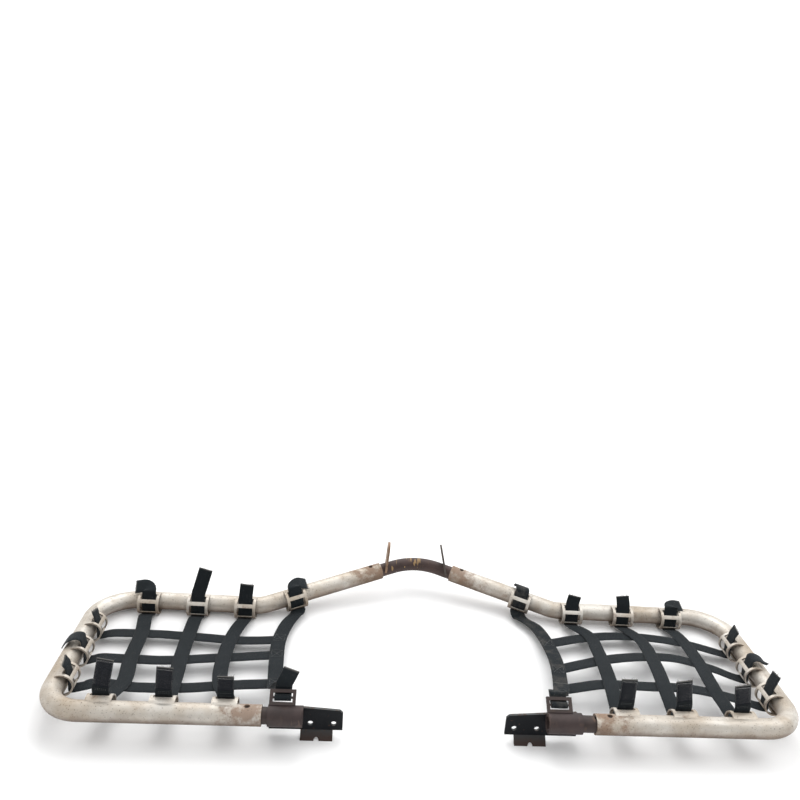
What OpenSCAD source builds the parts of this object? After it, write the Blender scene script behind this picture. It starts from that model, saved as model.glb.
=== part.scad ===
// Pair of quad-bike foot guards with webbing nets, joined by a bent rear crossbar.
// Millimetres, +Z up, +Y to the rear, mirror plane at X = 0, floor at Z = 0.

/* [Side tube] */
// Outside diameter of the aluminium side tube
tube_d = 31.75; // [28:0.25:34]
// Wall of the side tube
tube_wall = 3.1; // [2:0.05:4]
// Centre plane to the open end of the front leg
leg_end_x = 256; // [240:1:280]
// Centre plane to the front outer corner
front_corner_x = 584; // [560:1:610]
// Centre plane to the rear outer corner
rear_corner_x = 592; // [560:1:610]
// Front leg to rear outer corner, along the loop
loop_depth = 336; // [320:1:350]
// How far the rear leg steps forward on its way to the inward bend
rear_step = 9; // [0:1:15]
// Centre plane to the inward bend of the rear leg, left side
bend_x = 294; // [290:1:296]
// Centre plane to the inward bend of the rear leg, right side
right_bend_x = 266; // [262:1:268]
// Centreline radius of the front outer corner
front_corner_r = 56; // [50:1:75]
// Centreline radius of the rear outer corner
rear_corner_r = 70; // [50:1:80]
// Centreline radius of the inward bend
bend_r = 52; // [40:1:55]
// Centre plane to the open rear end
rear_end_x = 71; // [68:1:80]
// Front leg to the open rear end, along the loop
rear_end_y = 414; // [405:1:425]
// Height of the open rear end above the plane of the loop
rear_end_rise = 37; // [20:1:45]
// Diameter of the open bolt holes in the tube ends
bolt_d = 8.5; // [6:0.1:10]
// Bolt hole to tube end
bolt_inset = 22; // [18:1:30]

/* [Stance] */
// Height of the front legs above the floor
front_z = 49; // [47:0.5:55]
// Forward lift of the whole loop, in degrees
tilt = 5.3; // [4:0.05:5.3]

/* [Strap holders] */
// Length of a strap holder along the tube
holder_len = 39; // [36:1:42]
// Outside diameter of a strap holder
holder_d = 38; // [36:0.5:42]
// Wall of a strap holder
holder_wall = 2.5; // [2:0.1:3]
// Tube axis to holder axis
holder_offset = 11; // [9:0.5:13]
// Width of a holder window
window_w = 29; // [27:0.5:30]

/* [Webbing] */
// Width of the webbing
web_w = 25.4; // [24:0.2:26]
// Thickness of the webbing
web_t = 1.6; // [1.2:0.1:2]
// Drop of the cross straps below the tube axis
cross_drop = 8; // [7:0.5:9]
// Drop of the long straps below the tube axis
long_drop = 11; // [10.5:0.5:13]

/* [Front brackets] */
// Outside diameter of the stub tube and of the rear crossbar
stub_d = 25.4; // [25:0.1:25.5]
// Wall of the stub tube and of the rear crossbar
stub_wall = 3; // [2:0.1:4]
// How far a stub tube and a crossbar end reach into the side tube
insertion = 70; // [60:1:90]
// Length of the sleeve on the stub tube
sleeve_len = 53; // [45:1:60]
// Stub tube left showing between sleeve and front leg, left side
left_gap = 9; // [1:0.5:40]
// Stub tube left showing between sleeve and front leg, right side
right_gap = 21; // [1:0.5:40]
// Length of the bracket plate
plate_len = 114; // [100:1:120]
// Thickness of the bracket plate
plate_t = 4; // [3:0.5:5]
// Height of the plate's lower edge above the floor
plate_low = 10; // [9:0.5:12]
// Height of the plate's upper edge above the stub axis at its outer end
plate_top = 7.5; // [4:0.5:10]
// How much lower the upper edge is at the inner end
plate_fall = 8; // [0:0.5:10]
// Diameter of the plate's bolt holes
plate_hole_d = 8.5; // [6:0.1:10]
// Distance between the plate's bolt holes
plate_hole_pitch = 36; // [30:1:40]
// Width of the bent foot
foot_w = 50; // [45:1:55]
// Sleeve end to the middle of the strap loop, left side
left_loop_inset = 21; // [20:1:35]
// Sleeve end to the middle of the strap loop, right side
right_loop_inset = 34; // [20:1:35]

/* [Rear crossbar] */
// Centreline radius of the crossbar's bend
crossbar_r = 115; // [90:1:130]
// Height of a mounting ear above the crossbar axis
ear_h = 60; // [45:1:65]
// Width of a mounting ear
ear_w = 30; // [26:1:34]
// Thickness of a mounting ear
ear_t = 4; // [3:0.5:5]
// Diameter of the ear's bolt hole
ear_hole_d = 10.5; // [8:0.1:12]
// Lean of the left ear towards the middle, in degrees
left_ear_lean = 4; // [0:1:15]
// Lean of the right ear towards the middle, in degrees
right_ear_lean = 13; // [0:1:15]

/* [Hidden] */
holder_names = ["rear_holder_1", "rear_holder_2", "rear_holder_3", "rear_holder_4", "side_holder_1",
    "side_holder_2", "side_holder_3", "front_holder_1", "front_holder_2", "front_holder_3"];
cross_names = ["cross_strap_1", "cross_strap_2", "cross_strap_3", "cross_strap_4"];
long_names = ["long_strap_1", "long_strap_2", "long_strap_3"];
bracket_names = ["stub_tube", "bracket_sleeve", "bracket_plate", "strap_loop"];
side_parts = concat(["side_tube"], holder_names, cross_names, long_names, bracket_names);
$fn = 64;

tube_r = tube_d / 2;
stub_r = stub_d / 2;
bore_r = tube_r - tube_wall;
holder_r = holder_d / 2;
rear_leg_y = loop_depth - rear_step;
front_corner = [front_corner_x, 0, 0];
rear_corner = [rear_corner_x, loop_depth, 0];
rear_end = [rear_end_x, rear_end_y, rear_end_rise];
tube_bends = [0, front_corner_r, rear_corner_r, bend_r, 0];
rear_way = rear_end - [bend_x, rear_leg_y, 0];
rear_dir = rear_way / norm(rear_way);
rear_bolt = rear_end - bolt_inset * rear_dir;
// The box around the whole set is centred on Y = 0 by this shift.
origin_y = 215.782;

// Left side is 0 and right side is 1. Both end legs lie on the same line, mirrored.
function bend_of(k) = rear_end + ((k == 0 ? bend_x : right_bend_x) - rear_end_x) / rear_dir[0] * rear_dir;
function tube_path(k) = [[leg_end_x, 0, 0], front_corner, rear_corner, bend_of(k), rear_end];
function rear_leg_dir(k) = unit(bend_of(k) - rear_corner);
function rear_at(k, x) = rear_corner + (x - rear_corner_x) / rear_leg_dir(k)[0] * rear_leg_dir(k);

// Places of the holders on the tube
rear_holder_x = [[502, 411, 323], [490, 396, 297]];
front_holder_x = [[500, 406, 313], [494, 400, 307]];
side_holder_y = [233, 156, 78];
end_holder_run = [62, 65];
function end_holder_at(k) = bend_of(k) + end_holder_run[k] * rear_dir;
side_turn = atan2(rear_corner_x - front_corner_x, loop_depth);

// Straights lap into elbows by this much, and elbows are thinner by the seam
lap = 0.3;
seam = 0.02;

// Strap ends: profile through a holder, as [distance from the tube axis to the inside, height]
reach = 40;
// Flat runs go on past the foot of a strap end by this much
past = 1.5;
thread = [[25.5, -16], [19.5, -15.5], [20.3, -8], [20.6, 5], [18.6, 13], [17.2, 18], [16.2, 26]];
function through(drop) = concat([[reach, -drop]], thread);

function unit(v) = v / norm(v);
function side_x(y) = front_corner_x + y * (rear_corner_x - front_corner_x) / loop_depth;
function setback(path, bends, i) = bends[i] == 0 ? 0
    : bends[i] * tan(acos(unit(path[i] - path[i - 1]) * unit(path[i + 1] - path[i])) / 2);

module set_frame() {
    translate([0, -origin_y, 0]) children();
}

module loop_frame() {
    set_frame() translate([0, 0, front_z]) rotate([-tilt, 0, 0]) children();
}

module aim(from, to) {
    d = to - from;
    translate(from) rotate([0, acos(d[2] / norm(d)), atan2(d[1], d[0])]) children();
}

module rod(from, to, r) {
    aim(from, to) cylinder(h = norm(to - from), r = r);
}

// Elbow of centreline radius R at corner b of the path a, b, c
module elbow(a, b, c, R, r) {
    d1 = unit(b - a);
    d2 = unit(c - b);
    n = unit(cross(d1, d2));
    turn = acos(d1 * d2);
    out = -cross(n, d1);
    start = b - R * tan(turn / 2) * d1;
    o = start - R * out;
    multmatrix([[out[0], d1[0], n[0], o[0]], [out[1], d1[1], n[1], o[1]], [out[2], d1[2], n[2], o[2]]])
        rotate_extrude(angle = turn) translate([R, 0]) circle(r = r);
}

// Rod along a path: straights of radius r lap into elbows that are a hair thinner
module bent_rod(path, bends, r) {
    for (i = [0 : len(path) - 2]) {
        d = unit(path[i + 1] - path[i]);
        first = i == 0 ? 0 : lap;
        last = i == len(path) - 2 ? 0 : lap;
        rod(path[i] + (setback(path, bends, i) - first) * d,
            path[i + 1] - (setback(path, bends, i + 1) - last) * d, r);
    }
    for (i = [1 : len(path) - 2])
        elbow(path[i - 1], path[i], path[i + 1], bends[i], r - seam);
}

function stretched(path, by) = [for (i = [0 : len(path) - 1])
    i == 0 ? path[0] + by * unit(path[0] - path[1])
    : i == len(path) - 1 ? path[i] + by * unit(path[i] - path[i - 1]) : path[i]];

// Side tube in the loop frame
module side_tube(k) {
    color("silver") difference() {
        bent_rod(tube_path(k), tube_bends, tube_r);
        bent_rod(stretched(tube_path(k), 1), tube_bends, bore_r);
        translate([leg_end_x + bolt_inset, 0, 0]) cylinder(h = tube_d, r = bolt_d / 2);
        translate(rear_bolt) cylinder(h = tube_d, r = bolt_d / 2);
    }
}

// Holder around a tube along X, with the inside of the loop towards +Y
module holder() {
    color("gainsboro") rotate([90, 0, 90]) difference() {
        linear_extrude(holder_len, center = true) difference() {
            translate([holder_offset, 0]) circle(r = holder_r);
            translate([holder_offset, 0]) circle(r = holder_r - holder_wall);
            circle(r = tube_r);
        }
        // bottom opening, lower bar, middle window, upper bar, top opening
        for (w = [[-68, 13], [-1.5, 18], [68, 13]])
            translate([holder_offset, 0, 0]) rotate(w[0])
                translate([holder_r - holder_wall / 2, 0, 0]) cube([12, w[1], window_w], center = true);
    }
}

// Puts children at a place on the tube: local X along the tube, local +Y to the inside of the loop
module on_run(at, d) {
    translate(at) rotate([0, 0, atan2(d[1], d[0])]) rotate([0, -asin(d[2]), 0]) children();
}

module on_side(y) {
    translate([side_x(y), y, 0]) rotate(90 - side_turn) children();
}

module on_front_leg(x) {
    translate([x, 0, 0]) children();
}

module holder_at(k, i) {
    if (i < 3) on_run(rear_at(k, rear_holder_x[k][i]), rear_leg_dir(k)) holder();
    if (i == 3) on_run(end_holder_at(k), rear_dir) holder();
    if (i > 3 && i < 7) on_side(side_holder_y[i - 4]) holder();
    if (i > 6) on_front_leg(front_holder_x[k][i - 7]) holder();
}

function left_of(v) = unit([-v[1], v[0]]);
function aside(path, i, by) =
    i == 0 ? path[0] + by * left_of(path[1] - path[0])
    : i == len(path) - 1 ? path[i] + by * left_of(path[i] - path[i - 1])
    : let (a = left_of(path[i] - path[i - 1]), b = left_of(path[i + 1] - path[i]))
        path[i] + by * (a + b) / (1 + a * b);

// Band of width w along a path in the plane, with mitred corners
module band(path, w) {
    n = len(path) - 1;
    polygon(concat([for (i = [0 : n]) aside(path, i, w / 2)],
        [for (i = [n : -1 : 0]) aside(path, i, -w / 2)]));
}

// Ribbon that follows a profile of [y, z] points, across X, a hair narrower than the runs it rises from
module ribbon(profile) {
    rotate([90, 0, 90]) linear_extrude(web_w - 0.4, center = true) band(profile, web_t);
}

// End of a strap where it threads a holder and stands up as a tail
module threaded_end(drop, tail) {
    path = through(drop);
    top = path[len(path) - 1];
    ribbon(concat(path, [[top[0] - tail * 0.2, top[1] + tail]]));
}

// Flat run through points of the loop plane, at a height
module run(points, z) {
    translate([0, 0, z - web_t / 2]) linear_extrude(web_t) band(points, web_w);
}

rear_tail = [12, 55, 30, 14];
front_tail = [48, 44, 40];
cross_mid_x = [[497, 414, 326, 242], [490, 398, 304, 238]];
// The innermost strap climbs to the steel loop between these distances from the front leg
ramp_foot = 66;
ramp_top = 40;
ramp_rise = 12;
// Its other end climbs to the end holder from this distance, by this much
end_ramp = 46;

module cross_strap(k, i) {
    at = rear_at(k, rear_holder_x[k][i]);
    front_x = front_holder_x[k][i];
    color("darkslategray") {
        run([[at[0], at[1] - reach + past], [cross_mid_x[k][i], loop_depth / 2], [front_x, reach - past]],
            -cross_drop);
        on_run([at[0], at[1], 0], [-1, 0, 0]) threaded_end(cross_drop, rear_tail[i]);
        on_front_leg(front_x) threaded_end(cross_drop, front_tail[i]);
    }
}

// The innermost cross strap climbs to the end holder at the back and towards the steel loop at the front
module inner_strap(k, front_x) {
    at = end_holder_at(k);
    foot = at - end_ramp * unit([rear_dir[1], -rear_dir[0], 0]);
    top = thread[len(thread) - 1];
    mid_x = cross_mid_x[k][3];
    color("darkslategray") {
        run([[foot[0], foot[1] + past], [mid_x, loop_depth * 0.7], [mid_x, loop_depth / 2],
            [front_x, ramp_foot - past]], -cross_drop);
        on_run(at, rear_dir) ribbon(concat([[end_ramp, -at[2] - cross_drop]], thread,
            [[top[0] - rear_tail[3] * 0.2, top[1] + rear_tail[3]]]));
        translate([front_x, 0, 0])
            ribbon([[ramp_foot, -cross_drop], [ramp_top, ramp_rise]]);
    }
}

module long_strap(k, i) {
    y = side_holder_y[i];
    color("darkslategray") {
        run([[cross_mid_x[k][3] + web_w / 2 - 4, y], [side_x(y) - reach + past, y]], -long_drop);
        on_side(y) threaded_end(long_drop, 10);
    }
}

// Gap left at the sleeve when the bolt holes of stub tube and front leg line up
shut_gap = 1;

module stub_tube(gap) {
    out = leg_end_x - gap;
    color("sienna") set_frame() translate([0, 0, front_z]) difference() {
        rod([out - sleeve_len, 0, 0], [leg_end_x + insertion - gap, 0, 0], stub_r);
        rod([out - sleeve_len - 1, 0, 0], [leg_end_x + insertion, 0, 0], stub_r - stub_wall);
        translate([out + shut_gap + bolt_inset, 0, 0]) cylinder(h = tube_d, r = bolt_d / 2);
    }
}

plate_y = 14.5;

module bracket_sleeve(gap) {
    out = leg_end_x - gap;
    color("sienna") set_frame() translate([out, 0, front_z]) difference() {
        rod([-sleeve_len, 0, 0], [0, 0, 0], tube_r);
        rod([-sleeve_len - 1, 0, 0], [1, 0, 0], stub_r + 0.05);
        translate([-sleeve_len - 1, plate_y, -tube_r]) cube([sleeve_len + 2, tube_r, tube_d]);
    }
}

corner = 5;
foot_inset = 15;
hole_inset = 14;
hole_up = 14;

module bracket_plate(gap) {
    out = leg_end_x - gap;
    top = front_z + plate_top;
    foot_x = out - plate_len + foot_inset;
    color("dimgray") set_frame() {
        difference() {
            translate([out, plate_y + plate_t, 0]) rotate([90, 0, 0]) linear_extrude(plate_t)
                polygon([[-plate_len, plate_low + 1.5], [0, plate_low + 1.5], [0, top - corner],
                    [-corner, top], [-plate_len + corner, top - plate_fall],
                    [-plate_len, top - plate_fall - corner]]);
            for (i = [0, 1])
                translate([out - plate_len + hole_inset + i * plate_hole_pitch, 0, plate_low + hole_up])
                    rotate([-90, 0, 0]) cylinder(h = 40, r = plate_hole_d / 2);
        }
        // foot bent forward under the plate, with a half-round notch
        difference() {
            translate([foot_x, 0, 0]) rotate([90, 0, 90]) linear_extrude(foot_w)
                polygon([[plate_y, plate_low + 1.6], [plate_y + plate_t, plate_low + 1.6],
                    [plate_y + plate_t, plate_low], [plate_y + plate_t - plate_low, 0],
                    [plate_y - plate_low - 1.6, 0]]);
            translate([foot_x + foot_w / 2, 0, 0]) rotate([-90, 0, 0]) cylinder(h = 40, r = 4);
        }
    }
}

loop_w = 40;
loop_h = 24;
loop_bar = 5;
loop_lean = 35;
loop_t = 3.5;
loop_slot = 5.5;

// Flat steel loop that takes the innermost cross strap, with a bar across its middle
module strap_loop(gap, inset) {
    color("sienna") set_frame() translate([leg_end_x - gap, 0, front_z]) difference() {
        translate([-inset, 7, 13]) rotate([loop_lean, 0, 0]) difference() {
            translate([-loop_w / 2, 0, 0]) cube([loop_w, loop_h, loop_t]);
            for (y = [loop_bar, loop_h - loop_bar - loop_slot])
                translate([-loop_w / 2 + loop_bar, y, -1])
                    cube([loop_w - 2 * loop_bar, loop_slot, loop_t + 2]);
        }
        rod([-plate_len, 0, 0], [0, 0, 0], tube_r);
    }
}

vertex = rear_end + rear_dir * (rear_end_x / -rear_dir[0]);
function flip(v) = [-v[0], v[1], v[2]];
bar_end = rear_end - insertion * rear_dir;
bar_path = [flip(bar_end), vertex, bar_end];

module rear_crossbar() {
    color("saddlebrown") loop_frame() difference() {
        bent_rod(bar_path, [0, crossbar_r, 0], stub_r);
        bent_rod(stretched(bar_path, 1), [0, crossbar_r, 0], stub_r - stub_wall);
        for (at = [rear_bolt, flip(rear_bolt)]) translate(at) cylinder(h = tube_d, r = bolt_d / 2);
    }
}

ear_gap = 12;
ear_at = rear_end + ear_gap * rear_dir;

module ear(lean) {
    color("saddlebrown") difference() {
        loop_frame() translate(ear_at) rotate([tilt, 0, 0]) rotate([0, -lean, 0]) rotate([90, 0, 90])
            linear_extrude(ear_t, center = true) difference() {
                union() {
                    translate([-ear_w / 2, 0]) square([ear_w, ear_h - ear_w / 2]);
                    translate([0, ear_h - ear_w / 2]) circle(r = ear_w / 2);
                }
                translate([0, ear_h - ear_w / 2]) circle(r = ear_hole_d / 2);
            }
        loop_frame() bent_rod(bar_path, [0, crossbar_r, 0], stub_r);
    }
}

module on_side_of(side) {
    if (side == "left_") mirror([1, 0, 0]) children();
    else children();
}

function gap_of(side) = side == "left_" ? left_gap : right_gap;
function inset_of(side) = side == "left_" ? left_loop_inset : right_loop_inset;

rear_crossbar();
mirror([1, 0, 0]) ear(left_ear_lean);  // left_ear
ear(right_ear_lean);  // right_ear
for (side = ["left_", "right_"]) {
    k = side == "left_" ? 0 : 1;
    on_side_of(side) loop_frame() side_tube(k);
    for (i = [0 : len(holder_names) - 1])
        on_side_of(side) loop_frame()
            holder_at(k, i);
    for (i = [0 : 2])
        on_side_of(side) loop_frame()
            cross_strap(k, i);
    on_side_of(side) loop_frame()
        inner_strap(k, leg_end_x - gap_of(side) - inset_of(side));
    for (i = [0 : len(long_names) - 1])
        on_side_of(side) loop_frame()
            long_strap(k, i);
    on_side_of(side) stub_tube(gap_of(side));
    on_side_of(side) bracket_sleeve(gap_of(side));
    on_side_of(side) bracket_plate(gap_of(side));
    on_side_of(side)
        strap_loop(gap_of(side), inset_of(side));
}
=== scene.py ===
# Quad bike foot guards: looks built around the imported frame. +X right, +Y rear, +Z up, metres.
# Shapes on a guard are worked out in its loop plane, in millimetres, and placed with place().
import bpy
import math
import random
from mathutils import Matrix, Vector, noise


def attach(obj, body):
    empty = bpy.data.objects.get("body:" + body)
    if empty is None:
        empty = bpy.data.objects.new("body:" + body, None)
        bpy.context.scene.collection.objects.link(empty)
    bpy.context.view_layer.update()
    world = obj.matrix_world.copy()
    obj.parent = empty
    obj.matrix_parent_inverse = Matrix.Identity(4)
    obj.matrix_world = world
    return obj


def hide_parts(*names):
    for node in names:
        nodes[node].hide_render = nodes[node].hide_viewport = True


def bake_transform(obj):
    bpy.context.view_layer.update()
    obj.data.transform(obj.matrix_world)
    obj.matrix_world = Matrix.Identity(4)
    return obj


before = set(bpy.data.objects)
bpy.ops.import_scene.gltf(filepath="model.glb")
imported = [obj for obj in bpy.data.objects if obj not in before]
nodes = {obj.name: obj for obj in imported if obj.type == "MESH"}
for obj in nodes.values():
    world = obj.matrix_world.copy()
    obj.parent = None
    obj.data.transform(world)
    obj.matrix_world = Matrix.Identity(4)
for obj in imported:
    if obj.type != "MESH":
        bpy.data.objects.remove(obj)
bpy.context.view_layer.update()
print("frame:", len(nodes), "nodes")

loopShape = {
    "tilt": 5.3, "frontZ": 49.0, "originY": 215.782, "depth": 336.0,
    "sideFront": 584.0, "sideRear": 592.0, "rearEnd": (71.0, 414.0, 37.0), "rearWay": (-223.0, 87.0, 37.0),
    "bendX": {"left": 294.0, "right": 266.0}, "endRun": {"left": 62.0, "right": 65.0}, "legEnd": 256.0,
    "gap": {"left": 9.0, "right": 21.0}, "loopInset": {"left": 21.0, "right": 34.0},
    "rearHolders": {"left": (502.0, 411.0, 323.0), "right": (490.0, 396.0, 297.0)},
    "sideHolders": (233.0, 156.0, 78.0),
    "frontHolders": {"left": (500.0, 406.0, 313.0), "right": (494.0, 400.0, 307.0)},
}
tiltCos = math.cos(math.radians(loopShape["tilt"]))
tiltSin = math.sin(math.radians(loopShape["tilt"]))
sides = {"left": -1.0, "right": 1.0}


def place(side, p):
    # loop plane of a guard, in mm, to the row frame, in metres
    x, y, z = p
    return Vector((sides[side] * x, y * tiltCos + z * tiltSin - loopShape["originY"],
                   z * tiltCos - y * tiltSin + loopShape["frontZ"])) / 1000


# ---- shader writing ----

class Sock:
    # one socket's value; maths on it adds Math nodes
    def __init__(self, finish, socket):
        self.finish, self.socket = finish, socket

    def maths(self, operation, *values):
        return self.finish.add("ShaderNodeMath", {"operation": operation}, dict(enumerate(values)))

    def __add__(self, other): return self.maths("ADD", self, other)
    def __radd__(self, other): return self.maths("ADD", other, self)
    def __sub__(self, other): return self.maths("SUBTRACT", self, other)
    def __rsub__(self, other): return self.maths("SUBTRACT", other, self)
    def __mul__(self, other): return self.maths("MULTIPLY", self, other)
    def __rmul__(self, other): return self.maths("MULTIPLY", other, self)
    def __truediv__(self, other): return self.maths("DIVIDE", self, other)
    def __pow__(self, other): return self.maths("POWER", self, other)
    def __abs__(self): return self.maths("ABSOLUTE", self)


class Finish:
    # one material around a Principled shader
    def __init__(self, name, **constants):
        self.material = bpy.data.materials.new(name)
        self.material.use_nodes = True
        self.tree = self.material.node_tree
        self.tree.nodes.clear()
        self.shader = self.tree.nodes.new("ShaderNodeBsdfPrincipled")
        end = self.tree.nodes.new("ShaderNodeOutputMaterial")
        self.tree.links.new(self.shader.outputs[0], end.inputs[0])
        for socket, value in constants.items():
            self.shader.inputs[socket.replace("_", " ")].default_value = value

    def add(self, kind, settings=None, values=None, output=0):
        # any node: settings first, then the values or links of its sockets
        node = self.tree.nodes.new(kind)
        for key, value in (settings or {}).items():
            if key == "stops":
                ramp = node.color_ramp
                while len(ramp.elements) < len(value):
                    ramp.elements.new(0.5)
                for element, (at, grey) in zip(ramp.elements, value):
                    element.position = at
                    element.color = (grey, grey, grey, 1)
            else:
                setattr(node, key, value)
        for key, value in (values or {}).items():
            self.feed(node.inputs[key], value)
        return Sock(self, node.outputs[output])

    def feed(self, socket, value):
        if isinstance(value, Sock):
            self.tree.links.new(value.socket, socket)
        elif isinstance(value, tuple) and len(value) == 3 and socket.type == "RGBA":
            socket.default_value = (*value, 1)
        else:
            socket.default_value = value

    def set(self, name, value):
        self.feed(self.shader.inputs[name], value)

    def objectPoint(self):
        return self.add("ShaderNodeTexCoord", output=3)

    def noise(self, scale, detail=3.0, rough=0.55, at=None, stretch=None):
        point = at or self.objectPoint()
        if stretch:
            point = self.add("ShaderNodeVectorMath", {"operation": "MULTIPLY"}, {0: point, 1: stretch})
        return self.add("ShaderNodeTexNoise", {}, {"Vector": point, "Scale": scale, "Detail": detail,
                                                     "Roughness": rough})

    def ramp(self, value, low, high):
        return self.add("ShaderNodeMapRange", {"clamp": True}, {0: value, 1: low, 2: high, 3: 0.0, 4: 1.0})

    def mix(self, mask, first, second):
        return self.add("ShaderNodeMix", {"data_type": "RGBA", "clamp_factor": True},
                        {0: mask, 6: first, 7: second}, output=2)

    def axis(self, vector, index):
        return self.add("ShaderNodeSeparateXYZ", {}, {0: vector}, output=index)

    def far(self, point):
        # distance of the surface from a point of the frame
        return self.add("ShaderNodeVectorMath", {"operation": "DISTANCE"},
                        {0: self.objectPoint(), 1: point}, output=1)

    def bump(self, height, distance, strength=1.0):
        self.set("Normal", self.add("ShaderNodeBump", {}, {"Strength": strength, "Distance": distance,
                                                              "Height": height}))


# ---- finishes ----

# clean, dull, rust and speck are the metal's own colours; the brown for downward faces is painted shade
aluminiumLook = {"clean": (0.64, 0.61, 0.56), "dull": (0.42, 0.35, 0.27), "rust": (0.21, 0.115, 0.065),
                 "speck": (0.09, 0.06, 0.045), "under": (0.12, 0.078, 0.052), "pitDepth": 0.00035}


def weatheredAluminium(name, stain, ends=()):
    look = aluminiumLook
    f = Finish(name)
    cloud = f.ramp(f.noise(14, 4, 0.6), 0.36, 0.66)
    grain = f.noise(420, 3, 0.6)
    colour = f.mix(cloud, look["clean"], look["dull"])
    drawn = f.ramp(f.noise(60, 5, 0.7, stretch=(0.12, 1, 1)), 0.52, 0.62)
    colour = f.mix(drawn * 0.35, colour, (0.42, 0.37, 0.31))
    # rust runs gather at the open ends and the bolt holes
    near = 0.0
    for end in ends:
        near = f.add("ShaderNodeMath", {"operation": "MAXIMUM"}, {0: near, 1: f.ramp(f.far(end), 0.075, 0.0)})
    patch = f.ramp(f.noise(46, 6, 0.68) + near * 0.30, 0.61 - stain, 0.76 - stain)
    colour = f.mix(patch * 0.72, colour, look["rust"])
    speck = f.ramp(f.noise(430, 2, 0.5) + cloud * 0.04, 0.655, 0.70)
    colour = f.mix(speck * 0.6, colour, look["speck"])
    # painted shade: faces that turn downward are painted darker, tan on the sides and brown underneath
    upward = f.axis(f.add("ShaderNodeNewGeometry", output=1), 2)
    under = f.ramp(upward + (f.noise(38, 5, 0.65) - 0.5) * 0.9, 0.55, -0.55)
    colour = f.mix(under * 0.9, colour, look["under"])
    f.set("Base Color", colour)
    dirt = f.add("ShaderNodeMath", {"operation": "MAXIMUM"}, {0: patch, 1: speck})
    f.set("Metallic", 0.60 - dirt * 0.45 - cloud * 0.12)
    f.set("Roughness", 0.36 + cloud * 0.14 + dirt * 0.3 + grain * 0.1)
    f.bump(grain * 0.5 - speck * 0.8 + patch * 0.35, look["pitDepth"], 0.5)
    return f.material


def rustySteel(name, base, worn, scratchAmount, scratchAt=None):
    f = Finish(name)
    cloud = f.ramp(f.noise(30, 5, 0.62), 0.35, 0.65)
    fine = f.noise(500, 3, 0.6)
    colour = f.mix(cloud, base, tuple(c * 1.75 for c in base))
    bloom = f.ramp(f.noise(95, 5, 0.7), 0.56, 0.68)
    colour = f.mix(bloom * 0.45, colour, (0.075, 0.045, 0.032))
    lines = f.ramp(f.noise(130, 2, 0.5, stretch=(1, 0.18, 0.4)), 0.585, 0.62)
    where = f.ramp(f.far(scratchAt), 0.055, 0.01) if scratchAt else f.ramp(f.noise(18), 0.5, 0.7)
    lines = lines * where * scratchAmount
    colour = f.mix(lines, colour, worn)
    f.set("Base Color", colour)
    f.set("Metallic", 0.30 - bloom * 0.2 + lines * 0.3)
    f.set("Roughness", 0.46 + fine * 0.16 + bloom * 0.2 - lines * 0.1)
    f.bump(fine * 0.6 + bloom * 0.6 - lines * 0.8, 0.0003, 0.6)
    return f.material


def blackPlate(name):
    f = Finish(name, Specular_IOR_Level=0.16)
    cloud = f.ramp(f.noise(40, 4, 0.6), 0.35, 0.68)
    fine = f.noise(620, 2, 0.5)
    # black paint, painted darker still as painted shade for a face turned away from the light
    colour = f.mix(cloud, (0.002, 0.003, 0.005), (0.007, 0.008, 0.010))
    upward = f.ramp(f.axis(f.add("ShaderNodeNewGeometry", output=1), 2), 0.55, 0.9)
    chips = f.ramp(f.noise(170, 5, 0.7) + upward * 0.12, 0.63, 0.68)
    # painted light: faces turned up are painted a lighter grey, as if lit from above
    colour = f.mix(upward * 0.55, colour, (0.17, 0.18, 0.18))
    colour = f.mix(chips * 0.7, colour, (0.10, 0.055, 0.035))
    # painted light: the foot is painted browner and lighter than the plate, as if its upturned face caught
    # the light
    low = f.ramp(f.axis(f.objectPoint(), 2), 0.013, 0.003)
    colour = f.mix(low * 0.75, colour, (0.045, 0.026, 0.020))
    f.set("Base Color", colour)
    f.set("Metallic", chips * 0.3)
    f.set("Roughness", 0.44 + cloud * 0.12 + upward * 0.2 + low * 0.1)
    f.bump(fine * 0.4 - chips * 0.8, 0.00022, 0.6)
    return f.material


# the first colour is painted shade for the gaps between ribs; the other colours are the webbing's own
webLook = {"rib": 0.00115, "pick": 0.0017, "gapShade": (0.005, 0.008, 0.010), "light": (0.017, 0.022, 0.026),
           "dust": (0.085, 0.080, 0.074), "fray": (0.075, 0.078, 0.078)}


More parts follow.
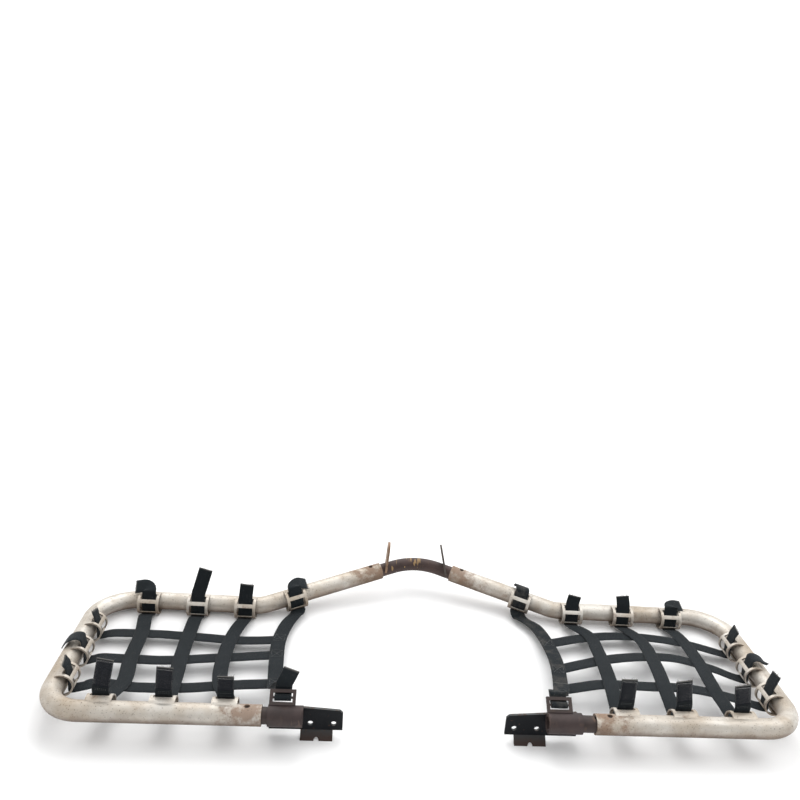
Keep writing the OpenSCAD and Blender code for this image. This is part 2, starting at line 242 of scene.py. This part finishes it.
def webbingCloth(name, dustiness):
    look = webLook
    f = Finish(name, Sheen_Weight=0.05, Sheen_Roughness=0.5, Specular_IOR_Level=0.14)
    strap = f.add("ShaderNodeUVMap", {"uv_map": "strap"})
    across, along = f.axis(strap, 0), f.axis(strap, 1)
    column = across / look["rib"]
    odd = f.add("ShaderNodeMath", {"operation": "PINGPONG"},
                {0: f.add("ShaderNodeMath", {"operation": "FLOOR"}, {0: column}), 1: 1.0})
    ribs = abs(f.add("ShaderNodeMath", {"operation": "SINE"}, {0: column * math.pi})) ** 0.5
    picks = f.add("ShaderNodeMath", {"operation": "SINE"},
                  {0: (along / look["pick"] + odd * 0.5) * (2 * math.pi)})
    weave = ribs * (0.62 + 0.38 * picks)
    wear = f.ramp(f.noise(34, 5, 0.62), 0.40, 0.72)
    # weave pattern with painted shade: the gaps between ribs are painted darker than the rib tops
    colour = f.mix(weave * 0.75 + wear * 0.25, look["gapShade"], look["light"])
    edge = f.ramp(abs(across), 0.0116, 0.0127)
    colour = f.mix(edge * 0.5 * f.ramp(f.noise(220), 0.4, 0.62), colour, look["fray"])
    dust = f.ramp(f.noise(52, 6, 0.66) + wear * 0.05, 0.70 - dustiness, 0.86 - dustiness)
    colour = f.mix(dust * (0.35 + 0.5 * weave), colour, look["dust"])
    lint = f.ramp(f.noise(700, 2, 0.5), 0.70, 0.74)
    colour = f.mix(lint * 0.55, colour, (0.22, 0.21, 0.19))
    cut = f.add("ShaderNodeAttribute", {"attribute_name": "cut"}, output=2)
    colour = f.mix(cut * 0.8, colour, (0.17, 0.165, 0.155))
    f.set("Base Color", colour)
    f.set("Roughness", 0.66 + dust * 0.2 + weave * 0.08)
    f.bump(weave + f.noise(900, 2) * 0.25, 0.00045, 0.8)
    return f.material


def fuzzyPad(name):
    # hook-and-loop face: matted loops with lint caught in them
    f = Finish(name, Sheen_Weight=0.55, Sheen_Roughness=0.35, Specular_IOR_Level=0.15)
    curl = f.noise(1500, 4, 0.75)
    mat = f.ramp(f.noise(120, 5, 0.65), 0.35, 0.7)
    colour = f.mix(curl * 0.7, (0.0025, 0.0035, 0.006), (0.016, 0.019, 0.026))
    colour = f.mix(mat * 0.3, colour, (0.022, 0.023, 0.026))
    lint = f.ramp(f.noise(520, 3, 0.6), 0.69, 0.74) + f.ramp(f.noise(90, 6, 0.8), 0.70, 0.78) * 0.5
    colour = f.mix(lint * 0.6, colour, (0.20, 0.19, 0.17))
    f.set("Base Color", colour)
    f.set("Roughness", 0.82 + mat * 0.15)
    f.bump(curl + mat * 0.6, 0.0009, 0.9)
    return f.material


def sewingThread(name):
    f = Finish(name, Sheen_Weight=0.3)
    twist = f.noise(1400, 2, stretch=(1, 1, 2.2))
    f.set("Base Color", f.mix(twist, (0.020, 0.023, 0.025), (0.075, 0.078, 0.078)))
    f.set("Roughness", 0.6 + twist * 0.2)
    f.bump(twist, 0.0002, 0.6)
    return f.material


def holeEnds(side):
    # the open ends and bolt holes of a side tube
    return [tuple(place(side, (loopShape["legEnd"] + 14, 0, 6))), tuple(place(side, (84, 409, 36)))]


tubeFinish = {side: weatheredAluminium(side + "TubeAluminium", 0.0, holeEnds(side)) for side in sides}
holderFinish = weatheredAluminium("holderAluminium", 0.045)
webFinish = {"left": webbingCloth("leftWebbing", 0.0), "right": webbingCloth("rightWebbing", 0.02)}
dustyWeb = webbingCloth("dustyWebbing", 0.22)
padFinish = fuzzyPad("hookAndLoopPad")
threadFinish = sewingThread("sewingThread")
steelFinish = {
    "rear_crossbar": rustySteel("crossbarSteel", (0.040, 0.024, 0.021), (0.46, 0.30, 0.13), 0.9,
                                (-0.028, 0.213, 0.062)),
    "left_ear": rustySteel("leftEarSteel", (0.17, 0.105, 0.065), (0.55, 0.44, 0.30), 0.8),
    "right_ear": rustySteel("rightEarSteel", (0.050, 0.040, 0.035), (0.30, 0.20, 0.12), 0.3),
    "stub_tube": rustySteel("stubSteel", (0.030, 0.020, 0.018), (0.25, 0.15, 0.09), 0.3),
    "bracket_sleeve": rustySteel("sleeveSteel", (0.030, 0.020, 0.019), (0.22, 0.14, 0.10), 0.3),
    "strap_loop": rustySteel("strapLoopSteel", (0.034, 0.024, 0.022), (0.26, 0.18, 0.13), 0.5),
}
plateFinish = blackPlate("plateBlack")

for nodeName, obj in nodes.items():
    side, _, part = nodeName.partition("_")
    if "holder" in nodeName:
        look = holderFinish
    elif part == "side_tube":
        look = tubeFinish[side]
    elif part == "bracket_plate":
        look = plateFinish
    else:
        look = steelFinish.get(nodeName) or steelFinish.get(part)
    if look:
        for materialSlot in obj.material_slots:
            materialSlot.material = look
print("finishes: done")


# ---- camera ----
cameraSetup = {"at": (-0.1395, -1.2160, 0.9409), "lens": 36.9, "right": (0.99729, -0.03547, 0.06452),
               "down": (0.04801, -0.35117, -0.93508), "forward": (0.05582, 0.93564, -0.34852)}
cameraData = bpy.data.cameras.new("camera")
cameraData.lens = cameraSetup["lens"]
cameraData.sensor_width = 36
cameraData.clip_start, cameraData.clip_end = 0.05, 60
camera = bpy.data.objects.new("camera", cameraData)
bpy.context.scene.collection.objects.link(camera)
turn = Matrix((cameraSetup["right"], [-v for v in cameraSetup["down"]],
               [-v for v in cameraSetup["forward"]])).transposed()
camera.matrix_world = Matrix.Translation(cameraSetup["at"]) @ turn.to_4x4()
bpy.context.scene.camera = camera


# ---- meshes ----

def makeObject(name, verts, faces, material, smooth=True):
    mesh = bpy.data.meshes.new(name)
    mesh.from_pydata([tuple(v) for v in verts], [], faces)
    mesh.update()
    if smooth:
        mesh.polygons.foreach_set("use_smooth", [True] * len(mesh.polygons))
    mesh.materials.append(material)
    obj = bpy.data.objects.new(name, mesh)
    bpy.context.scene.collection.objects.link(obj)
    return obj


def curveThrough(points, step):
    # centripetal Catmull-Rom through rows of numbers whose first three are a place in mm
    rows = [list(p) for p in points]
    rows = [[2 * a - b for a, b in zip(rows[0], rows[1])]] + rows + \
        [[2 * a - b for a, b in zip(rows[-1], rows[-2])]]
    out = []
    for i in range(1, len(rows) - 2):
        p = rows[i - 1:i + 3]
        t = [0.0]
        for a, b in zip(p, p[1:]):
            t.append(t[-1] + max(math.dist(a[:3], b[:3]), 0.01) ** 0.5)
        n = max(2, round(math.dist(p[1][:3], p[2][:3]) / step))
        for k in range(n + (i == len(rows) - 3)):
            u = t[1] + (t[2] - t[1]) * k / n

            def lerp(a, b, ta, tb):
                return [x + (y - x) * (u - ta) / (tb - ta) for x, y in zip(a, b)]
            a1, a2, a3 = (lerp(p[j], p[j + 1], t[j], t[j + 1]) for j in range(3))
            b1, b2 = lerp(a1, a2, t[0], t[2]), lerp(a2, a3, t[1], t[3])
            out.append(lerp(b1, b2, t[1], t[2]))
    return out


webShape = {"half": 12.7, "thick": 0.8, "step": 2.5, "edge": 0.45, "wave": 0.35, "cut": 1.6,
            "ragged": 0.012, "cup": 0.35, "foot": {"cross": (41, -9.6), "long": (41, -11.8)}}


class Strap:
    # a ribbon along rows of (x, y, z, wx, wy, wz): a place and the direction of its width, loop plane, mm
    def __init__(self, side, rows):
        self.side = side
        self.half = webShape["half"]
        self.thick = webShape["thick"]
        samples = curveThrough(rows, webShape["step"])
        places = [Vector(s[:3]) for s in samples]
        self.frames, self.length = [], [0.0]
        for i, p in enumerate(places):
            t = (places[min(i + 1, len(places) - 1)] - places[max(i - 1, 0)]).normalized()
            w = Vector(samples[i][3:6])
            w = (w - w.dot(t) * t).normalized()
            n = t.cross(w)
            if i:
                self.length.append(self.length[-1] + (p - places[i - 1]).length)
            self.frames.append((p, t, w, n))

    def at(self, along, across=0.0, lift=0.0):
        # a place on the ribbon and its frame, from a distance along it
        i = min(range(len(self.length)), key=lambda k: abs(self.length[k] - along))
        p, t, w, n = self.frames[i]
        return p + w * across + n * lift, t, w, n

    def build(self, name, material, seed):
        h, e, th = self.half, webShape["edge"], self.thick
        section = [(-h, -th + e), (-h + e, -th), (-h * 0.5, -th), (0, -th), (h * 0.5, -th),
                   (h - e, -th), (h, -th + e), (h, th - e), (h - e, th), (h * 0.5, th), (0, th),
                   (-h * 0.5, th), (-h + e, th), (-h, th - e)]
        verts, uvs, cuts = [], [], []
        total = self.length[-1]
        for (p, t, w, n), s in zip(self.frames, self.length):
            ragged = 1 + webShape["ragged"] * noise.noise(Vector((s * 0.13, seed * 7.1, 0)))
            sway = webShape["wave"] * noise.noise(Vector((s * 0.035, seed * 3.7, 5)))
            cup = webShape["cup"] * noise.noise(Vector((s * 0.02, seed, 9)))
            for a, b in section:
                verts.append(place(self.side, p + w * (a * ragged) + n * (b + sway + cup * (a / h) ** 2)))
                uvs.append((a / 1000, s / 1000))
                cuts.append(1.0 if min(s, total - s) < webShape["cut"] else 0.0)
        m, faces = len(section), []
        for i in range(len(self.frames) - 1):
            for j in range(m):
                k = (j + 1) % m
                faces.append((i * m + j, i * m + k, (i + 1) * m + k, (i + 1) * m + j))
        last = (len(self.frames) - 1) * m
        faces += [tuple(range(m)), tuple(range(last + m - 1, last - 1, -1))]
        if sides[self.side] > 0:
            faces = [tuple(reversed(f)) for f in faces]
        obj = makeObject(name, verts, faces, material)
        layer = obj.data.uv_layers.new(name="strap")
        layer.data.foreach_set("uv", [c for loop in obj.data.loops for c in uvs[loop.vertex_index]])
        mark = obj.data.attributes.new("cut", "FLOAT", "POINT")
        mark.data.foreach_set("value", cuts)
        return obj


# ---- where the holders sit ----

leanSide = math.atan2(loopShape["sideRear"] - loopShape["sideFront"], loopShape["depth"])
rearWay = Vector(loopShape["rearWay"])


class Holder:
    # tube axis point, direction along the tube, direction to the inside of the loop, and up
    def __init__(self, at, along, inward, up=(0, 0, 1)):
        self.place, self.along, self.inward, self.up = Vector(at), Vector(along), Vector(inward), Vector(up)

    def row(self, inwards, up, along=0.0, width=(0, 0, 1)):
        # width is given as (inward, up, along)
        p = self.place + self.inward * inwards + self.up * up + self.along * along
        w = self.inward * width[0] + self.up * width[1] + self.along * width[2]
        return (*p, *w)


def sideX(y):
    return loopShape["sideFront"] + y * (loopShape["sideRear"] - loopShape["sideFront"]) / loopShape["depth"]


def onRun(at, way):
    # a holder on a run of the rear leg: level across, square to the run
    inward = Vector((-way.y, way.x, 0)).normalized()
    return Holder(at, way, inward, way.cross(inward))


holders = {}
for side in sides:
    end = Vector(loopShape["rearEnd"])
    bend = end + rearWay * ((loopShape["bendX"][side] - end.x) / rearWay.x)
    corner = Vector((loopShape["sideRear"], loopShape["depth"], 0))
    leg = (bend - corner).normalized()
    for i, x in enumerate(loopShape["rearHolders"][side]):
        holders[side, "rear", i] = onRun(corner + leg * ((x - corner.x) / leg.x), leg)
    holders[side, "rear", 3] = onRun(bend + rearWay.normalized() * loopShape["endRun"][side],
                                     rearWay.normalized())
    for i, y in enumerate(loopShape["sideHolders"]):
        holders[side, "side", i] = Holder((sideX(y), y, 0), (math.sin(leanSide), math.cos(leanSide), 0),
                                          (-math.cos(leanSide), math.sin(leanSide), 0))
    for i, x in enumerate(loopShape["frontHolders"][side]):
        holders[side, "front", i] = Holder((x, 0, 0), (1, 0, 0), (0, 1, 0))

# through a holder: under its lower bar, behind both bars and out of its top, as (inward, up)
thread = [(25.5, -15.7), (21.0, -15.2), (20.2, -8), (20.6, 0), (20.4, 6), (18.6, 13), (17.2, 18.5),
          (16.2, 26)]


def threaded(holder, foot, tail):
    # rows from the foot of a strap end to the tip of its tail
    return [holder.row(*foot)] + [holder.row(*p) for p in thread] + [holder.row(*t) for t in tail]


# tails: (inward, up, along, width direction)
def upright(height, lean=0.2, drift=0.0, curl=0.0):
    rows = []
    for share in (0.3, 0.65, 1.0):
        rise = height * share
        rows.append((16 - lean * rise - curl * share ** 2, 26 + rise, drift * share, (0, 0, 1)))
    return rows


def folded(toward, reach=24.0, rise=9.0, drop=3.0, stand=0.66):
    # the tail turns on a slanted crease and lies towards one end of the tube, leaning back over it
    rows, lie = [], math.sqrt(1 - stand * stand)
    for angle in (0, 30, 60, 88):
        c, n = math.cos(math.radians(angle)), math.sin(math.radians(angle))
        rows.append((15.5 - 10 * n, 28 + rise * n, toward * 11.5 * (1 - c),
                     (toward * n * lie, -toward * n * stand, c)))
    rows.append((4, 28 + rise - drop, toward * reach, (toward * lie, -toward * stand, 0)))
    return rows


def overTube(drift=6.0, reach=-17.0, fall=8.0):
    # the tail bends back over the tube
    return [(12, 28.5, drift * 0.2, (0, 0, 1)), (3, 28, drift * 0.5, (0, 0, 1)),
            (-7, 22.5, drift * 0.8, (0, 0, 1)), (reach, fall, drift, (0, 0, 1))]


straps = {
    "left": {
        "rearTail": [folded(-1, 28, 4, 4), upright(49, 0.12, 13), upright(24, 0.1, 2),
                     folded(1, 27, 1, 8, 0.4)],
        "sideTail": [upright(7, 0.4, 2), overTube(2, -15, 12), upright(9, 0.5, -2)],
        "frontTail": [upright(52, 0.02, -9, -2), upright(42, 0.02, -3), upright(29, 0.0, 0)],
        "cross": [[(496, 235), (494, 155), (487, 84)], [(413, 240), (412, 158), (409, 112)],
                  [(334, 246), (340, 185), (336, 100)], [(242, 282), (252, 222), (250, 150), (246, 100)]],
        "long": [[(470, 231), (400, 226), (322, 219), (272, 222), (243, 226)],
                 [(500, 152), (436, 151), (350, 163), (267, 174), (243, 176)],
                 [(530, 82), (470, 74), (388, 76), (309, 87), (262, 92), (239, 94)]],
        "bow": -3.0},
    "right": {
        "rearTail": [folded(-1, 24, -1, 2, 0.35), upright(17, 0.25, 2, 3), upright(15, 0.1, -3),
                     overTube(9, -12, 15)],
        "sideTail": [upright(13, 0.35, -2), overTube(-2, 3, 26), upright(19, 0.4, 2)],
        "frontTail": [upright(41, 0.0, -8, 3), upright(46, 0.0, -8, 3), upright(44, 0.0, 0)],
        "cross": [[(495, 250), (494, 183), (490, 102)], [(412, 256), (410, 180), (403, 106)],
                  [(318, 270), (319, 215), (316, 150), (311, 90)],
                  [(224, 292), (235, 225), (236, 175), (230, 120)]],
        "long": [[(508, 248), (440, 267), (362, 271), (300, 259), (250, 243), (226, 236)],
                 [(515, 172), (455, 201), (390, 202), (320, 188), (252, 163), (228, 154)],
                 [(528, 84), (451, 110), (368, 114), (300, 116), (246, 103), (222, 98)]],
        "bow": 9.0},
}
netDrop = {"cross": -8.6, "long": -10.9, "readAt": -8.0, "slant": 1.28, "spanX": (215, 350),
           "spanY": (8, 312), "fullness": 0.7}


def arch(value, start, span):
    return math.sin(math.pi * min(1, max(0, (value - start) / span)))


def netRow(side, x, y, kind, width):
    # the net bows up or down in its middle; its plan moves with its height, so that it keeps its line
    bow = straps[side]["bow"] * arch(x, *netDrop["spanX"]) ** netDrop["fullness"] * arch(y, *netDrop["spanY"])
    z = netDrop[kind] + bow
    return (x, y - netDrop["slant"] * (z - netDrop["readAt"]), z, *width)


def ride(obj, side, nodeName=None):
    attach(obj, side + "_bar")
    if nodeName:
        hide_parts(nodeName)


built = {}
for side in sides:
    plan = straps[side]
    for i in range(3):
        foot = webShape["foot"]["cross"]
        back = threaded(holders[side, "rear", i], foot, plan["rearTail"][i])[::-1]
        ahead = threaded(holders[side, "front", i], foot, plan["frontTail"][i])
        # the width keeps one direction: away from the middle
        back = [(*r[:3], *-Vector(r[3:6])) for r in back]
        middle = [netRow(side, x, y, "cross", (1, 0, 0)) for x, y in plan["cross"][i]]
        strap = Strap(side, back + middle + ahead)
        built[side, "cross", i] = strap
        obj = strap.build(f"{side}_cross_web_{i + 1}", webFinish[side], i + (side == "right") * 5)
        ride(obj, side, f"{side}_cross_strap_{i + 1}")
    for i in range(3):
        end = threaded(holders[side, "side", i], webShape["foot"]["long"], plan["sideTail"][i])[::-1]
        middle = [netRow(side, x, y, "long", (0, 1, 0)) for x, y in plan["long"][i]]
        strap = Strap(side, end + middle)
        built[side, "long", i] = strap
        obj = strap.build(f"{side}_long_web_{i + 1}", webFinish[side], i + 11 + (side == "right") * 5)
        ride(obj, side, f"{side}_long_strap_{i + 1}")


# the innermost cross strap climbs to the steel loop on the bracket and goes round its middle bar
loopWalk = {"base": (7.0, 13.0), "lean": 35.0,
            "rows": [(36, -6.5), (27, -4.6), (16, -3.6), (9.5, -2.0), (7.6, 2.0), (9.2, 4.9), (12.2, 5.4),
                     (15.2, 4.2), (16.3, 1.2), (18.6, -1.3), (22, -1.5), (26.5, -0.6)],
            "blend": (97, 40), "foot": {"left": (32, -17.5, -6), "right": (32, -20.5, -9)},
            "climb": {"left": (243.0, 70.0, -1.0), "right": (219.0, 72.0, 0.0)},
            "flap": {"left": [(31, 7, -1), (38, 17, -6), (47, 29, -12)],
                     "right": [(31, 0.6, 0)]},
            "folded": {"left": [],
                       "right": [(205, 45, 26.5), (211, 56, 17.8), (219, 72, 3.2), (226, 92, -1.2),
                                 (229, 110, -3.4)]}}


def fromBracket(x, y, z):
    # bracket plane, level, to the loop plane
    return (x, y * tiltCos - z * tiltSin, y * tiltSin + z * tiltCos)


def loopRow(side, s, h, drift=0.0):
    lean = math.radians(loopWalk["lean"])
    x = loopShape["legEnd"] - loopShape["gap"][side] - loopShape["loopInset"][side]
    y, z = loopWalk["base"]
    return (*fromBracket(x + drift, y + s * math.cos(lean) - h * math.sin(lean),
                         z + s * math.sin(lean) + h * math.cos(lean)), 1, 0, 0)


for side in sides:
    plan = straps[side]
    holder = holders[side, "rear", 3]
    back = threaded(holder, loopWalk["foot"][side], plan["rearTail"][3])[::-1]
    back = [(*r[:3], *-Vector(r[3:6])) for r in back]
    middle = [netRow(side, x, y, "cross", (1, 0, 0)) for x, y in plan["cross"][3]]
    climb = (*loopWalk["climb"][side], 1, 0, 0)
    ahead = [loopRow(side, s, h) for s, h in loopWalk["rows"]]
    ahead += [loopRow(side, *f) for f in loopWalk["flap"][side]]
    ahead += [(*p, 1, 0, 0) for p in loopWalk["folded"][side]]
    strap = Strap(side, back + middle + [climb] + ahead)
    built[side, "cross", 3] = strap
    cloth = dustyWeb if side == "right" else webFinish[side]
    obj = strap.build(f"{side}_cross_web_4", cloth, 31 + (side == "right"))
    rearward, forward = (place(side, (climb[0], y, 0)) for y in loopWalk["blend"])
    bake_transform(obj)
    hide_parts(f"{side}_cross_strap_4")
print("straps: length in mm", {key: round(strap.length[-1]) for key, strap in built.items()})


# ---- flap pads, stitching and frayed ends ----

padShape = {"half": 11.9, "thick": 0.75, "lift": 1.65, "back": 2.0,
            "length": {"left": (46, 38, 26), "right": (36, 40, 38)}}


def patch(strap, first, last, lift, half, thick):
    # a shorter ribbon on the face of a strap, between two distances along it
    piece = object.__new__(Strap)
    piece.side, piece.half, piece.thick = strap.side, half, thick
    chosen = [(f, s) for f, s in zip(strap.frames, strap.length) if first <= s <= last]
    piece.frames = [(p + n * lift, t, w, n) for (p, t, w, n), _ in chosen]
    piece.length = [s - chosen[0][1] for _, s in chosen]
    return piece


for side in sides:
    for i in range(3):
        strap = built[side, "cross", i]
        total = strap.length[-1]
        first, last = total - padShape["length"][side][i], total - padShape["back"]
        pad = patch(strap, first, last, -padShape["lift"], padShape["half"], padShape["thick"])
        ride(pad.build(f"{side}_flap_pad_{i + 1}", padFinish, 41 + i), side)

stitchShape = {"length": 2.3, "gap": 0.9, "radius": 0.32, "lift": 1.05, "box": (19, 18), "row": 9,
               "pitch": 3, "clear": 4}


def tack(verts, faces, side, a, b, n, radius):
    # one stitch: a short thread that rises in its middle
    t = (b - a).normalized()
    w = t.cross(n).normalized()
    base = len(verts)
    for share, up, wide in ((0, -0.3, 0.5), (0.2, 0.5, 1), (0.8, 0.5, 1), (1, -0.3, 0.5)):
        c = a.lerp(b, share) + n * up * radius
        for k in range(5):
            angle = 2 * math.pi * k / 5
            verts.append(place(side, c + (w * math.cos(angle) + n * math.sin(angle)) * radius * wide))
    for r in range(3):
        for k in range(5):
            j = (k + 1) % 5
            faces.append((base + r * 5 + k, base + r * 5 + j, base + r * 5 + 5 + j, base + r * 5 + 5 + k))
    faces.append(tuple(base + k for k in range(5)))
    faces.append(tuple(base + 15 + k for k in (4, 3, 2, 1, 0)))


def sewn(name, strap, lines, lift):
    # stitched lines between (along, across) places on a strap
    verts, faces = [], []
    pace = stitchShape["length"] + stitchShape["gap"]
    for (s0, a0), (s1, a1) in lines:
        run = math.hypot(s1 - s0, a1 - a0)
        count = max(1, round(run / pace))
        for k in range(count):
            u, v = k / count, (k + stitchShape["length"] / pace) / count
            p, _, _, n = strap.at(s0 + (s1 - s0) * u, a0 + (a1 - a0) * u, lift)
            q, *_ = strap.at(s0 + (s1 - s0) * v, a0 + (a1 - a0) * v, lift)
            if (q - p).length > 0.3:
                tack(verts, faces, strap.side, p, q, n if lift > 0 else -n, stitchShape["radius"])
    return makeObject(name, verts, faces, threadFinish)


def boxLines(middle, long, wide):
    a, b, c = middle - long / 2, middle + long / 2, wide / 2
    return [((a, -c), (b, -c)), ((b, -c), (b, c)), ((b, c), (a, c)), ((a, c), (a, -c)), ((a, -c), (b, c)),
            ((a, c), (b, -c))]


for side in sides:
    inner = built[side, "cross", 3]
    for i in range(3):
        tip = Vector(built[side, "long", i].frames[-1][0])
        along = min(zip(inner.frames, inner.length), key=lambda fs: (fs[0][0] - tip).length)[1]
        top = 1 if inner.at(along)[3].z > 0 else -1
        box = boxLines(along, *stitchShape["box"])
        ride(sewn(f"{side}_box_stitch_{i + 1}", inner, box, top * stitchShape["lift"]), side)
        strap = built[side, "cross", i]
        total = strap.length[-1]
        base = total - padShape["length"][side][i] - stitchShape["clear"]
        across = stitchShape["row"]
        rows = [((at, -across), (at, across)) for at in (base, base - stitchShape["pitch"])]
        ride(sewn(f"{side}_flap_stitch_{i + 1}", strap, rows, -stitchShape["lift"]), side)

frayShape = {"count": 26, "short": 1.5, "long": 5.0, "radius": 0.11, "seed": 7}
dice = random.Random(frayShape["seed"])


def frayed(name, strap, atStart, count):
    # loose fibres out of a cut end
    verts, faces = [], []
    p, t, w, n = strap.frames[0 if atStart else -1]
    out = -t if atStart else t
    for _ in range(count):
        a = p + w * dice.uniform(-strap.half, strap.half) + n * dice.uniform(-0.5, 0.5) - out * 0.8
        way = out + w * dice.uniform(-0.6, 0.6) + n * dice.uniform(-0.6, 0.6)
        length = dice.uniform(frayShape["short"], frayShape["long"])
        b = a + way.normalized() * length
        c = b + (way + Vector([dice.uniform(-1, 1) for _ in range(3)])).normalized() * length * 0.5
        for u, v in ((a, b), (b, c)):
            tack(verts, faces, strap.side, u, v, n, frayShape["radius"])
    return makeObject(name, verts, faces, threadFinish)


for side in sides:
    for kind, many in (("cross", 4), ("long", 3)):
        for i in range(many):
            strap = built[side, kind, i]
            ride(frayed(f"{side}_{kind}_fray_{i + 1}", strap, True, frayShape["count"]), side)
            if kind == "cross" and i < 3:
                ride(frayed(f"{side}_flap_fray_{i + 1}", strap, False, frayShape["count"] // 2), side)
print("details: done")


# ---- floor and light ----
stageSetup = {"floor": (0.93, 0.93, 0.93), "size": 55.0, "world": 1.2, "key": 30.0, "rim": 12.0}
floorFinish = Finish("floorPaint", Specular_IOR_Level=0.25)
floorFinish.set("Base Color", stageSetup["floor"])
floorFinish.set("Roughness", 0.75)
half = stageSetup["size"]
floor = makeObject("floor", [(-half, -half, 0), (half, -half, 0), (half, half, 0), (-half, half, 0)],
                   [(0, 1, 2, 3)], floorFinish.material, False)


def softLight(name, energy, size, at, target):
    data = bpy.data.lights.new(name, "AREA")
    data.energy, data.size = energy, size
    lamp = bpy.data.objects.new(name, data)
    lamp.location = at
    lamp.rotation_euler = (Vector(target) - Vector(at)).to_track_quat("-Z", "Y").to_euler()
    bpy.context.scene.collection.objects.link(lamp)


softLight("keyLight", stageSetup["key"], 1.8, (-0.2, 1.6, 2.4), (0, 0, 0))
softLight("rimLight", stageSetup["rim"], 1.4, (1.6, 0.2, 2.0), (0, 0, 0))

world = bpy.data.worlds.new("studio")
bpy.context.scene.world = world
world.use_nodes = True
worldNodes = world.node_tree
sky = worldNodes.nodes["Background"]
ray = worldNodes.nodes.new("ShaderNodeTexCoord")
split = worldNodes.nodes.new("ShaderNodeSeparateXYZ")
shade = worldNodes.nodes.new("ShaderNodeMapRange")
shade.inputs[1].default_value, shade.inputs[2].default_value = -0.9, 0.75
shade.inputs[3].default_value, shade.inputs[4].default_value = 0.42, 1.0
bias = worldNodes.nodes.new("ShaderNodeMath")
worldNodes.links.new(ray.outputs["Generated"], split.inputs[0])
worldNodes.links.new(split.outputs[1], bias.inputs[0])
worldNodes.links.new(split.outputs[2], bias.inputs[1])
worldNodes.links.new(bias.outputs[0], shade.inputs[0])
worldNodes.links.new(shade.outputs[0], sky.inputs[0])
sky.inputs[1].default_value = stageSetup["world"]
bpy.context.scene.view_settings.view_transform = "Standard"
print("stage: done")
